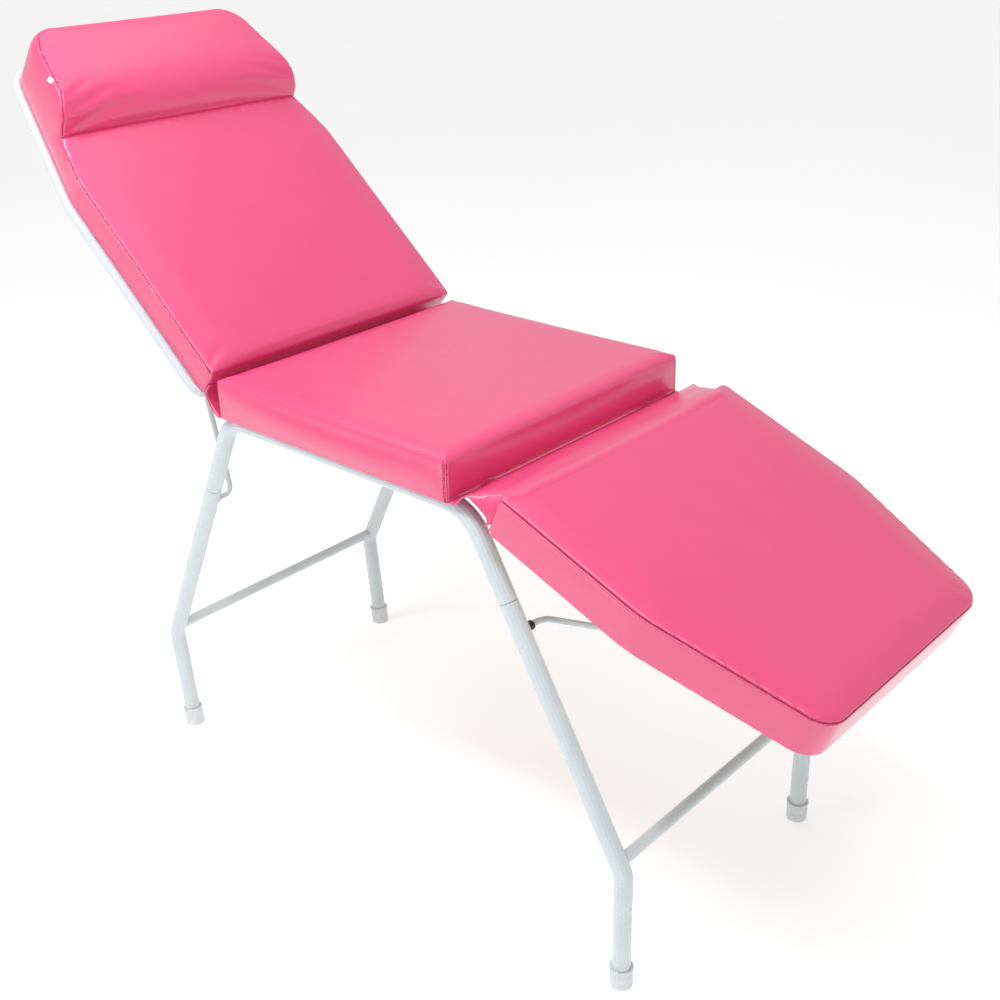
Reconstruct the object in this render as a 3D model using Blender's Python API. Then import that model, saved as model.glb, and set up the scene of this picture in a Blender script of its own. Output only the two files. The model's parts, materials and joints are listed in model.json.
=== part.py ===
"""Facial treatment bed: a padded seat on a bent steel tube frame with four plug-in legs, a backrest that
reclines, a leg rest that tilts, and a bent rod stay under each of the two.

Metres, +Z up, floor at z = 0, +X to the foot end, y = 0 on the centre plane. The origin is on the floor under
the middle of the whole bed. Each hinged panel is modelled flat, level with the seat, about its own hinge, and
its parent empty then turns it to its rest angle.
"""

import math

import bmesh
import bpy
from mathutils import Matrix, Vector

# ---- Driving dimensions ----
SEAT_X = -0.2537  # rear face of the seat pad
SEAT_TOP = 0.7815
WIDTH = 0.550
SEAT_LENGTH = 0.514
SEAT_THICK = 0.069
BACK_LENGTH = 0.700
BACK_THICK = 0.053
LEG_LENGTH = 0.520
LEG_THICK = 0.0645
BACK_GAP = 0.049  # between the pads when all are level
LEG_GAP = 0.068
RECLINE = math.radians(41.3)  # backrest above level at rest
LEG_DROP = math.radians(21.8)  # leg rest below level at rest

BACK_TAPER_START = 0.410
BACK_TAPER = 0.200  # narrowing of each side per metre of length
LEG_TAPER_START = 0.2585
LEG_TAPER = 0.2355
LEG_PAD_INSET = 0.004  # leg pad narrower than the seat pad, each side

LEG_TUBE = 0.0286
LEG_WALL = 0.0015
BAR_TUBE = 0.0190
BAR_WALL = 0.0012
LOOP_TUBE = 0.0159
LOOP_WALL = 0.0012
STAY_ROD = 0.0095
BEND_RADIUS = 0.070  # rail into leg stub
KNEE_RADIUS = 0.045
LOOP_OVERHANG = 0.0022  # backrest loop's centre line outside its pad
LEG_LOOP_INSET = 0.056  # leg rest loop's centre line inside its pad
SIDE_GAP = 0.0046  # between the rails and the backrest loop

BOARD_THICK = 0.012
PANEL_BOARD_THICK = 0.010
PAD_LIP = 0.006  # pad wall round each board
LIP_DROP = 0.005  # how far that wall hangs below the seat board

STUB_REAR_Z = 0.558
STUB_FRONT_Z = 0.580
REAR_KNEE = (-0.2605, 0.2004)  # x from the seat's rear face, and z
REAR_FOOT_X = -0.2450
REAR_TOP_X = 0.0004
FRONT_KNEE = (0.2942, 0.2077)  # x from the seat's front face, and z
FRONT_FOOT_X = 0.2921
FRONT_TOP_X = 0.0202
SPIGOT_LENGTH = 0.045
SPIGOT_FOOT = 0.012  # of the spigot's own tube, below the shoulder
JOINT_GAP = 0.0012  # open between each stub and its leg's shoulder
BAR_ABOVE_KNEE = 0.016
CAP_HEIGHT = 0.034
CAP_WALL = 0.0028

BACK_HINGE_BEHIND = 0.0209  # behind the seat's rear face
LEG_HINGE_AHEAD = 0.0003  # ahead of the seat's front face
REAR_BAR_INSET = 0.056  # seat cross tubes, in from the pad's ends
FRONT_BAR_INSET = 0.040
LUG_INSIDE = 0.0623  # of the rails' centre lines, for the plane between each bracket and its lug
PLATE = 0.004
EYE_RADIUS = 0.0080
PIN = 0.0070
RIVET_HEAD = 0.0058
RIVET_HEAD_THICK = 0.0028

STAY_INSIDE = 0.0464  # of the rails' centre lines, for each stay's arms
BACK_STAY_PIVOT_Z = 0.527
LEG_STAY_PIVOT_Z = 0.540
BACK_STAY_REACH = 0.1702  # hinge to stay crossbar, along the panel, at rest
LEG_STAY_REACH = 0.3132
STAY_BEND = 0.018
WASHER_LENGTH = 0.003  # on the backrest stay
BUSHING_LENGTH = 0.008  # on the leg rest stay
BUSHING_WALL = 0.0022
RACK_INSET = 0.125  # from the seat pad's side
RACK_PLATE = 0.003
NOTCH_DEPTH = 0.006
BACK_NOTCHES = (0.1702, 0.244, 0.314)  # each from its hinge
LEG_NOTCHES = (0.203, 0.264, 0.3132, 0.3635)
BACK_BARS = (0.360, 0.560)  # tubes across each loop, from its hinge
LEG_BAR = 0.420

PILLOW_START = 0.500  # from the backrest pad's lower end
PILLOW_HEIGHT = 0.066
PILLOW_EDGE = 0.001
TAG = (0.012, 0.0012, 0.009)
TAG_S = 0.583

FLAP_THICK = 0.002
FLAP_INSET = 0.003

# ---- Clearances and resolution ----
TOUCH = 0.0003  # between pieces that rest on or are welded to each other
FIT = 0.0004  # round a spigot
PIN_FIT = 0.0003
STAY_FIT = 0.0005  # stay crossbar under the notched plates
TUBE_SIDES = 16
LOOP_SIDES = 12
ROD_SIDES = 10
BEND_STEPS = 6

# ---- Places worked out from them ----
LEG_R = LEG_TUBE / 2
BAR_R = BAR_TUBE / 2
LOOP_R = LOOP_TUBE / 2
ROD_R = STAY_ROD / 2
SEAT_FRONT = SEAT_X + SEAT_LENGTH
SEAT_BOTTOM = SEAT_TOP - SEAT_THICK
BOARD_BOTTOM = SEAT_BOTTOM + LIP_DROP
RAIL_Z = BOARD_BOTTOM - TOUCH - LEG_R
BACK_LOOP_Y = WIDTH / 2 + LOOP_OVERHANG
LEG_Y = BACK_LOOP_Y - LOOP_R - SIDE_GAP - LEG_R
BACK_HINGE = Vector((SEAT_X - BACK_HINGE_BEHIND, 0, SEAT_TOP - BACK_THICK - TOUCH - LOOP_R))
LEG_HINGE = Vector((SEAT_FRONT + LEG_HINGE_AHEAD, 0, SEAT_TOP - LEG_THICK - TOUCH - LOOP_R))
BACK_START = BACK_GAP - BACK_HINGE_BEHIND  # hinge to the pad's lower end
LEG_START = LEG_GAP - LEG_HINGE_AHEAD
PAD_BASE = LOOP_R + TOUCH  # each hinged pad's underside above its hinge
STAY_DROP = LOOP_R + STAY_FIT + ROD_R  # stay crossbar's centre below its hinge, with the panel level
STAY_Y = LEG_Y - STAY_INSIDE
LUG_Y = LEG_Y - LUG_INSIDE
RACK_Y = WIDTH / 2 - RACK_INSET
FLAP_HALF_WIDTH = WIDTH / 2 - FLAP_INSET

for leftover in list(bpy.data.objects):
    bpy.data.objects.remove(leftover, do_unlink=True)


# ---- Materials ----
def material(name, colour, roughness, metallic=0.0):
    made = bpy.data.materials.new(name)
    made.use_nodes = True
    shader = made.node_tree.nodes["Principled BSDF"]
    shader.inputs["Base Color"].default_value = (*colour, 1)
    shader.inputs["Roughness"].default_value = roughness
    shader.inputs["Metallic"].default_value = metallic
    return made


PINK = material("pink_vinyl", (0.90, 0.12, 0.28), 0.40)
WHITE = material("white_paint", (0.86, 0.88, 0.90), 0.30)
CAP_GREY = material("foot_plastic", (0.78, 0.80, 0.82), 0.50)
BLACK = material("black_plastic", (0.02, 0.02, 0.02), 0.50)
WOOD = material("plywood", (0.55, 0.38, 0.22), 0.75)
ZINC = material("zinc_steel", (0.60, 0.61, 0.63), 0.35, 1.0)
CLOTH = material("tag_cloth", (0.90, 0.90, 0.90), 0.80)


# ---- Shape helpers ----
def put(name, points, faces, finish, parent=None):
    """One named object from points and faces, facing out and shaded smooth."""
    mesh = bpy.data.meshes.new(name)
    mesh.from_pydata([tuple(p) for p in points], [], faces)
    shape = bmesh.new()
    shape.from_mesh(mesh)
    bmesh.ops.recalc_face_normals(shape, faces=shape.faces)
    shape.to_mesh(mesh)
    shape.free()
    mesh.materials.append(finish)
    mesh.shade_smooth()
    mesh.set_sharp_from_angle(angle=math.radians(35))
    made = bpy.data.objects.new(name, mesh)
    bpy.context.scene.collection.objects.link(made)
    made.parent = parent
    return made


def pivot(name, place, turn):
    """An empty on a joint's axis, which carries the pieces that turn with it."""
    made = bpy.data.objects.new(name, None)
    bpy.context.scene.collection.objects.link(made)
    made.location = place
    made.rotation_euler = (0, turn, 0)
    return made


def rounded(corners, radii, steps=BEND_STEPS, closed=False):
    """A path through the corners with each one turned into an arc of its own radius."""
    count = len(corners)
    path = []
    for i, corner in enumerate(corners):
        if not closed and i in (0, count - 1):
            path.append(corner)
            continue
        before = (corners[i - 1] - corner).normalized()
        after = (corners[(i + 1) % count] - corner).normalized()
        half = before.angle(after) / 2
        middle = corner + (before + after).normalized() * (radii[i] / math.sin(half))
        reach = radii[i] / math.tan(half)
        start = corner + before * reach - middle
        end = corner + after * reach - middle
        sweep = start.angle(end)
        for step in range(steps + 1):
            share = step / steps
            path.append(
                middle
                + start * (math.sin((1 - share) * sweep) / math.sin(sweep))
                + end * (math.sin(share * sweep) / math.sin(sweep))
            )
    return path


def rings_to_faces(counts, sides, closed):
    """Quads between consecutive rings of points."""
    faces = []
    for i in range(counts if closed else counts - 1):
        here, there = i * sides, ((i + 1) % counts) * sides
        for k in range(sides):
            m = (k + 1) % sides
            faces.append((here + k, here + m, there + m, there + k))
    return faces


def ring_frames(path, normal, closed):
    """The two ring directions at each point of a path that lies in one plane."""
    frames = []
    for i, point in enumerate(path):
        before = path[i - 1] if closed or i else point
        after = path[(i + 1) % len(path)] if closed or i + 1 < len(path) else point
        along = (after - before).normalized()
        frames.append((normal, along.cross(normal).normalized()))
    return frames


def ring(point, frame, radius, sides):
    turns = [2 * math.pi * k / sides for k in range(sides)]
    return [point + (frame[0] * math.cos(t) + frame[1] * math.sin(t)) * radius for t in turns]


def tube(name, path, radii, bores, normal, finish, parent=None, sides=TUBE_SIDES):
    """An open-ended hollow tube along a planar path, with an outer and an inner radius for each point."""
    frames = ring_frames(path, normal, False)
    count = len(path)
    outer = [ring(p, f, r, sides) for p, f, r in zip(path, frames, radii)]
    inner = [ring(p, f, r, sides) for p, f, r in zip(path, frames, bores)]
    points = [p for each in outer + inner[::-1] for p in each]
    return put(name, points, rings_to_faces(2 * count, sides, True), finish, parent)


def rod(name, path, radius, normal, finish, parent=None, sides=ROD_SIDES, closed=False):
    """A solid round bar along a planar path: a closed loop, or one with flat ends."""
    frames = ring_frames(path, normal, closed)
    points = [p for place, frame in zip(path, frames) for p in ring(place, frame, radius, sides)]
    faces = rings_to_faces(len(path), sides, closed)
    if not closed:
        faces.append(tuple(range(sides)))
        faces.append(tuple(range(len(points) - sides, len(points))))
    return put(name, points, faces, finish, parent)


def turned_solid(name, profile, place, axis, finish, parent=None, sides=TUBE_SIDES):
    """A solid of revolution from (radius, height) points, from the axis back to the axis."""
    turn = axis.to_track_quat("Z", "Y").to_matrix()
    points, starts, faces = [], [], []
    for radius, height in profile:
        starts.append(len(points))
        on_axis = radius == 0
        for k in range(1 if on_axis else sides):
            t = 2 * math.pi * k / sides
            points.append(place + turn @ Vector((radius * math.cos(t), radius * math.sin(t), height)))
    for i in range(len(profile) - 1):
        a, b = starts[i], starts[i + 1]
        for k in range(sides):
            m = (k + 1) % sides
            if profile[i][0] == 0:
                faces.append((a, b + k, b + m))
            elif profile[i + 1][0] == 0:
                faces.append((a + k, a + m, b))
            else:
                faces.append((a + k, a + m, b + m, b + k))
    return put(name, points, faces, finish, parent)


def ring_solid(name, inner, outer, low, high, place, axis, finish, parent=None, sides=TUBE_SIDES):
    """A plain ring about an axis."""
    turn = axis.to_track_quat("Z", "Y").to_matrix()
    points = []
    for radius, height in ((outer, low), (outer, high), (inner, high), (inner, low)):
        for k in range(sides):
            t = 2 * math.pi * k / sides
            points.append(place + turn @ Vector((radius * math.cos(t), radius * math.sin(t), height)))
    return put(name, points, rings_to_faces(4, sides, True), finish, parent)


def plate_xz(name, outline, y_low, y_high, finish, parent=None, holes=()):
    """A flat plate parallel to the XZ plane. Each hole is (x, z, radius), cut right through."""
    points = [Vector((x, y, z)) for y in (y_low, y_high) for x, z in outline]
    count = len(outline)
    faces = rings_to_faces(2, count, False)
    faces += [tuple(range(count)), tuple(range(count, 2 * count))]
    made = put(name, points, faces, finish, parent)
    for x, z, radius in holes:
        middle = Vector((x, (y_low + y_high) / 2, z))
        profile = [(0, -0.02), (radius, -0.02), (radius, 0.02), (0, 0.02)]
        cut(made, turned_solid(name + "_hole", profile, middle, Vector((0, 1, 0)), finish, parent))
    return made


def box(name, low, high, finish, parent=None):
    points = [Vector((x, y, z)) for z in (low[2], high[2]) for x, y in
              ((low[0], low[1]), (high[0], low[1]), (high[0], high[1]), (low[0], high[1]))]
    faces = rings_to_faces(2, 4, False) + [(0, 1, 2, 3), (4, 5, 6, 7)]
    return put(name, points, faces, finish, parent)


def cut(target, cutter):
    """Takes the cutter's shape out of the target."""
    cutter.hide_render = True
    cutter.display_type = "WIRE"
    change = target.modifiers.new(cutter.name, "BOOLEAN")
    change.operation = "DIFFERENCE"
    change.object = cutter


def eye(x, z, radius, start, end, steps=8):
    """Points of an arc in the XZ plane, for the round end of a plate. Angles in degrees from +X to +Z."""
    turns = [math.radians(start + (end - start) * k / steps) for k in range(steps + 1)]
    return [(x + radius * math.cos(t), z + radius * math.sin(t)) for t in turns]


def panel_corners(length, half_width, taper_start, taper):
    """Corners of a tapered panel, x along it from its inner end."""
    end = half_width - taper * (length - taper_start)
    side = [(0, half_width), (taper_start, half_width), (length, end)]
    return [Vector((x, -y, 0)) for x, y in side] + [Vector((x, y, 0)) for x, y in reversed(side)]


def inset_corners(corners, inset):
    """The same corners with every side moved in by inset."""
    moved = []
    count = len(corners)
    for i, corner in enumerate(corners):
        before = (corner - corners[i - 1]).normalized()
        after = (corners[(i + 1) % count] - corner).normalized()
        inward = Vector((-before.y, before.x, 0))
        turn = before.cross(after).z
        slide = (1 - before.dot(after)) / turn if abs(turn) > 1e-6 else 0
        moved.append(corner + inward * inset + before * inset * -slide)
    return moved


def outline(corners, radii, inset=0.0, steps=BEND_STEPS):
    kept = [max(radius - inset, 0.002) for radius in radii]
    return rounded(inset_corners(corners, inset), kept, steps, closed=True)


def loft(name, levels, finish, parent=None):
    """A closed solid through rings of equal size, each a list of points, with flat faces at both ends."""
    count = len(levels[0])
    points = [p for level in levels for p in level]
    faces = rings_to_faces(len(levels), count, False)
    faces.append(tuple(range(count)))
    faces.append(tuple(range(len(points) - count, len(points))))
    return put(name, points, faces, finish, parent)


def at_height(points, direction, start, z):
    """Panel points set along +X or -X from start, at height z."""
    return [Vector((direction * (start + p.x), p.y, z)) for p in points]


def pad(name, corners, radii, direction, start, base, thick, board, edge, parent=None):
    """A cushion with rounded top edges and a recess under it for its board."""
    top = base + thick
    shape = (
        (PAD_LIP, base + board + TOUCH),
        (PAD_LIP, base),
        (0.0, base),
        (0.0, top - edge),
        (0.3 * edge, top - 0.3 * edge),
        (edge, top),
    )
    levels = [at_height(outline(corners, radii, inset), direction, start, z) for inset, z in shape]
    return loft(name, levels, PINK, parent)


def board(name, corners, radii, direction, start, base, thick, parent=None):
    flat = outline(corners, radii, PAD_LIP + 2 * TOUCH)
    levels = [at_height(flat, direction, start, z) for z in (base, base + thick)]
    return loft(name, levels, WOOD, parent)


def strip(name, path, half_width, thick, finish, parent=None):
    """A sheet of even thickness that follows a path in the XZ plane."""
    upper, lower = [], []
    for i, point in enumerate(path):
        along = path[min(i + 1, len(path) - 1)] - path[max(i - 1, 0)]
        across = Vector((-along.z, 0, along.x)).normalized() * (thick / 2)
        upper.append(point + across)
        lower.append(point - across)
    profile = upper + lower[::-1]
    ends = [[p + Vector((0, y, 0)) for p in profile] for y in (-half_width, half_width)]
    return loft(name, ends, finish, parent)


def smooth_path(points, steps=3):
    """A Catmull-Rom curve through the points."""
    path = []
    for i in range(len(points) - 1):
        a = points[max(i - 1, 0)]
        b, c = points[i], points[i + 1]
        d = points[min(i + 2, len(points) - 1)]
        for step in range(steps):
            t = step / steps
            square = 2 * a - 5 * b + 4 * c - d
            cube = 3 * b - a - 3 * c + d
            path.append(0.5 * (2 * b + (c - a) * t + square * t**2 + cube * t**3))
    return path + [points[-1]]


# ---- Frame lines in the XZ plane ----
REAR_TOP = Vector((SEAT_X + REAR_TOP_X, 0, RAIL_Z))
REAR_KNEE_AT = Vector((SEAT_X + REAR_KNEE[0], 0, REAR_KNEE[1]))
REAR_FOOT_AT = Vector((SEAT_X + REAR_FOOT_X, 0, 0))
FRONT_TOP = Vector((SEAT_FRONT + FRONT_TOP_X, 0, RAIL_Z))
FRONT_KNEE_AT = Vector((SEAT_FRONT + FRONT_KNEE[0], 0, FRONT_KNEE[1]))
FRONT_FOOT_AT = Vector((SEAT_FRONT + FRONT_FOOT_X, 0, 0))


def on_line(top, bottom, z):
    return top + (bottom - top) * ((z - top.z) / (bottom.z - top.z))


REAR_STUB_END = on_line(REAR_TOP, REAR_KNEE_AT, STUB_REAR_Z)
FRONT_STUB_END = on_line(FRONT_TOP, FRONT_KNEE_AT, STUB_FRONT_Z)
BACK_STAY_PIVOT = on_line(REAR_TOP, REAR_KNEE_AT, BACK_STAY_PIVOT_Z)
LEG_STAY_PIVOT = on_line(FRONT_TOP, FRONT_KNEE_AT, LEG_STAY_PIVOT_Z)
SIDES = {"left": 1, "right": -1}
ALONG_Y = Vector((0, 1, 0))
ALONG_Z = Vector((0, 0, 1))


# ---- Seat frame ----
def rails():
    corners = [REAR_STUB_END, REAR_TOP, FRONT_TOP, FRONT_STUB_END]
    path = rounded(corners, (0, BEND_RADIUS, BEND_RADIUS, 0))
    for side, sign in SIDES.items():
        moved = [p + ALONG_Y * sign * LEG_Y for p in path]
        count = len(moved)
        tube(f"seat_rail_{side}", moved, [LEG_R] * count, [LEG_R - LEG_WALL] * count, ALONG_Y, WHITE)


def bar_between(name, place, slope, parent=None, radius=BAR_R, wall=BAR_WALL):
    """A tube across the bed, its ends shaped to the two round tubes that it is welded between."""
    reach = LEG_Y - math.sqrt(LEG_R**2 - radius**2) - TOUCH
    path = [place - ALONG_Y * reach, place + ALONG_Y * reach]
    made = tube(name, path, [radius] * 2, [radius - wall] * 2, ALONG_Z, WHITE, parent)
    for sign in SIDES.values():
        middle = place + ALONG_Y * sign * LEG_Y
        ends = [middle - slope * 0.05, middle + slope * 0.05]
        cut(made, rod(f"{name}_cope_{sign}", ends, LEG_R + TOUCH, ALONG_Y, WHITE, parent, 2 * TUBE_SIDES))


def seat_bars():
    for name, x in (("rear", SEAT_X + REAR_BAR_INSET), ("front", SEAT_FRONT - FRONT_BAR_INSET)):
        bar_between(f"seat_cross_tube_{name}", Vector((x, 0, RAIL_Z)), Vector((1, 0, 0)))


def lower_leg(name, stub_end, knee, foot, sign):
    """A leg with its spigot up inside the stub, bent once at the knee."""
    up = (stub_end - knee).normalized()
    shoulder = stub_end - up * JOINT_GAP
    spigot_r = LEG_R - LEG_WALL - FIT
    floor_end = foot + (knee - foot).normalized() * (2 * CAP_WALL)
    straight = shoulder - up * (SPIGOT_FOOT + 0.001)
    bend = rounded([straight, knee, floor_end], (0, KNEE_RADIUS, 0), 5)
    spigot = [shoulder + up * SPIGOT_LENGTH, shoulder + up * TOUCH / 3]
    path = spigot + [shoulder, shoulder - up * SPIGOT_FOOT] + bend
    radii = [spigot_r] * 2 + [LEG_R] * (len(path) - 2)
    bores = [spigot_r - LEG_WALL] * 4 + [LEG_R - LEG_WALL] * (len(path) - 4)
    moved = [p + ALONG_Y * sign * LEG_Y for p in path]
    tube(name, moved, radii, bores, ALONG_Y, WHITE)


def foot_cap(name, knee, foot, sign):
    """A cup on the leg's end, cut flat where it meets the floor."""
    up = (knee - foot).normalized()
    bore = LEG_R + TOUCH
    outer = bore + CAP_WALL
    rim = outer + 0.0012
    profile = [
        (0, CAP_WALL * 1.6),
        (bore, CAP_WALL * 1.6),
        (bore, CAP_HEIGHT),
        (rim, CAP_HEIGHT),
        (rim, CAP_HEIGHT - 0.004),
        (outer, CAP_HEIGHT - 0.005),
        (outer, -0.006),
        (0, -0.006),
    ]
    place = foot + ALONG_Y * sign * LEG_Y
    made = turned_solid(name, profile, place, up, CAP_GREY)
    low = place - Vector((0.05, 0.05, 0.05))
    high = Vector((place.x + 0.05, place.y + 0.05, 0.0))
    cut(made, box(name + "_floor", low, high, CAP_GREY))


def legs():
    for side, sign in SIDES.items():
        for end, stub, knee, foot in (
            ("rear", REAR_STUB_END, REAR_KNEE_AT, REAR_FOOT_AT),
            ("front", FRONT_STUB_END, FRONT_KNEE_AT, FRONT_FOOT_AT),
        ):
            lower_leg(f"{end}_leg_{side}", stub, knee, foot, sign)
            foot_cap(f"{end}_foot_cap_{side}", knee, foot, sign)
    for end, top, knee in (("rear", REAR_TOP, REAR_KNEE_AT), ("front", FRONT_TOP, FRONT_KNEE_AT)):
        bar_between(f"{end}_crossbar", on_line(top, knee, knee.z + BAR_ABOVE_KNEE), (top - knee).normalized())


def seat_cushion():
    corners = panel_corners(SEAT_LENGTH, WIDTH / 2, SEAT_LENGTH * 0.5, 0.0)
    corners = [corners[0], corners[2], corners[3], corners[5]]
    radii = [0.006] * 4
    made = pad("seat_pad", corners, radii, 1, SEAT_X, SEAT_BOTTOM, SEAT_THICK, LIP_DROP + BOARD_THICK, 0.005)
    board("seat_board", corners, radii, 1, SEAT_X, BOARD_BOTTOM, BOARD_THICK)
    rail_half = LEG_R + 0.002
    gaps = [(LEG_Y - rail_half, LEG_Y + rail_half), (LUG_Y - 2 * PLATE, LUG_Y + 2 * PLATE)]
    for number, (near, far) in enumerate(gaps):
        for side, sign in SIDES.items():
            low = (SEAT_X - 0.01, min(sign * near, sign * far), SEAT_BOTTOM - 0.01)
            high = (SEAT_FRONT + 0.01, max(sign * near, sign * far), BOARD_BOTTOM)
            cut(made, box(f"seat_pad_notch_{number}_{side}", low, high, PINK))


def hinge_bracket(name, hinge, bar_x, toward_bar, neck_top, sign):
    """A plate from a seat cross tube to a hinge: its neck stays under the pad, its eye is round the pin."""
    neck_low = RAIL_Z - 0.006
    bar_face = bar_x - toward_bar * (BAR_R + TOUCH)
    corners = [(bar_face, neck_low), (bar_face, neck_top)]
    if neck_top < hinge.z:
        corners.append((hinge.x + toward_bar * EYE_RADIUS, neck_top))
        corners += eye(hinge.x, hinge.z, EYE_RADIUS, 90 - 90 * toward_bar, 90 + 90 * toward_bar)
        corners.append((hinge.x - toward_bar * EYE_RADIUS, neck_low))
    else:
        corners += eye(hinge.x, hinge.z, EYE_RADIUS, 90, 90 + 180 * toward_bar)
    near, far = LUG_Y + TOUCH, LUG_Y + TOUCH + PLATE
    plate_xz(
        name,
        corners,
        min(sign * near, sign * far),
        max(sign * near, sign * far),
        WHITE,
        holes=[(hinge.x, hinge.z, PIN / 2 + PIN_FIT)],
    )


def hinge_lug(name, reach, height, direction, sign, parent):
    """A plate on the hinged panel, from its loop to the pin."""
    near, far = LUG_Y - TOUCH - PLATE, LUG_Y - TOUCH
    back = direction * (reach - LOOP_R - TOUCH)
    round_end = eye(0, 0, EYE_RADIUS - 0.0005, 90, 90 + direction * 180)
    corners = round_end + [(back, -height), (back, height)]
    plate_xz(
        name,
        corners,
        min(sign * near, sign * far),
        max(sign * near, sign * far),
        WHITE,
        parent,
        holes=[(0, 0, PIN / 2 + PIN_FIT)],
    )


def rivet(name, hinge, sign):
    """A headed pin through one bracket and one lug."""
    half = PLATE + 2 * TOUCH
    head = half + RIVET_HEAD_THICK
    profile = [
        (0, -head),
        (RIVET_HEAD * 0.7, -head),
        (RIVET_HEAD, -half - 0.001),
        (RIVET_HEAD, -half),
        (PIN / 2, -half),
        (PIN / 2, half),
        (RIVET_HEAD, half),
        (RIVET_HEAD, half + 0.001),
        (RIVET_HEAD * 0.7, head),
        (0, head),
    ]
    turned_solid(name, profile, hinge + ALONG_Y * sign * LUG_Y, ALONG_Y, ZINC)


def brackets():
    for side, sign in SIDES.items():
        rear_bar = SEAT_X + REAR_BAR_INSET
        front_bar = SEAT_FRONT - FRONT_BAR_INSET
        hinge_bracket(f"back_hinge_bracket_{side}", BACK_HINGE, rear_bar, 1, SEAT_BOTTOM - 0.001, sign)
        hinge_bracket(f"leg_hinge_bracket_{side}", LEG_HINGE, front_bar, -1, LEG_HINGE.z + EYE_RADIUS, sign)
        rivet(f"back_hinge_rivet_{side}", BACK_HINGE, sign)
        rivet(f"leg_hinge_rivet_{side}", LEG_HINGE, sign)


def bushings():
    """A ring on each leg's inner face, round the end of a stay."""
    for name, place, length, finish in (
        ("back_stay_washer", BACK_STAY_PIVOT, WASHER_LENGTH, WHITE),
        ("leg_stay_bushing", LEG_STAY_PIVOT, BUSHING_LENGTH, BLACK),
    ):
        bore = ROD_R + PIN_FIT
        outer = LEG_Y - LEG_R - TOUCH
        for side, sign in SIDES.items():
            ring = f"{name}_{side}"
            ring_solid(ring, bore, bore + BUSHING_WALL, outer - length, outer, place, ALONG_Y * sign, finish)


# ---- Panels ----
def tube_loop(name, corners, radii, direction, start, parent):
    """The closed tube under a panel's rim, in the plane of the hinge."""
    path = at_height(rounded(corners, radii, 4, closed=True), direction, start, 0)
    rod(name, path, LOOP_R, ALONG_Z, WHITE, parent, LOOP_SIDES, closed=True)


def loop_bar(name, x, half_width, inset, taper, taper_from, parent):
    """A straight tube between the two sides of a loop, whose far edge is what the taper leaves room for."""
    past = abs(x) + LOOP_R - taper_from
    slope = taper if past > 0 else 0
    reach = half_width - (inset + LOOP_R) * math.hypot(1, slope) - slope * past - TOUCH
    path = [Vector((x, -reach, 0)), Vector((x, reach, 0))]
    tube(name, path, [LOOP_R] * 2, [LOOP_R - LOOP_WALL] * 2, ALONG_Z, WHITE, parent, LOOP_SIDES)


def rack(name, notches, bar, direction, sign, parent):
    """A plate from a cross tube, with one round notch for each position of the stay's crossbar."""
    tip = -LOOP_R
    width = ROD_R + 0.0008
    first = notches[0] - 0.016
    last = bar - LOOP_R - TOUCH
    points = [(first, PAD_BASE - TOUCH), (first, tip)]
    for place in notches:
        floor = [(place + width * math.cos(t), tip + NOTCH_DEPTH * math.sin(t)) for t in
                 (math.pi * k / 6 for k in range(6, -1, -1))]
        points += floor
    points += [(last, tip), (last, PAD_BASE - TOUCH)]
    half = RACK_PLATE / 2
    turned = [(direction * x, z) for x, z in points]
    plate_xz(name, turned, sign * RACK_Y - half, sign * RACK_Y + half, WHITE, parent)


def backrest():
    carrier = pivot("backrest_hinge", BACK_HINGE, RECLINE)
    corners = panel_corners(BACK_LENGTH, WIDTH / 2, BACK_TAPER_START, BACK_TAPER)
    radii = (0.010, 0.150, 0.050, 0.050, 0.150, 0.010)
    pad("back_pad", corners, radii, -1, BACK_START, PAD_BASE, BACK_THICK, PANEL_BOARD_THICK, 0.006, carrier)
    board("back_board", corners, radii, -1, BACK_START, PAD_BASE, PANEL_BOARD_THICK, carrier)
    loop_corners = inset_corners(corners, -LOOP_OVERHANG)
    low_end = 0.001
    for i in (0, 5):
        loop_corners[i].x = low_end
    loop_radii = (0.026, 0.152, 0.052, 0.052, 0.152, 0.026)
    tube_loop("back_frame_loop", loop_corners, loop_radii, -1, BACK_START, carrier)
    taper_from = BACK_START + BACK_TAPER_START
    for name, x in zip(("lower", "upper"), BACK_BARS):
        loop_bar(f"back_cross_tube_{name}", -x, WIDTH / 2, -LOOP_OVERHANG, BACK_TAPER, taper_from, carrier)
    for side, sign in SIDES.items():
        hinge_lug(f"back_hinge_lug_{side}", BACK_START + low_end, 0.006, -1, sign, carrier)
        rack(f"back_rack_{side}", BACK_NOTCHES, BACK_BARS[0], -1, sign, carrier)
    pillow(carrier, corners)
    return carrier


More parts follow.
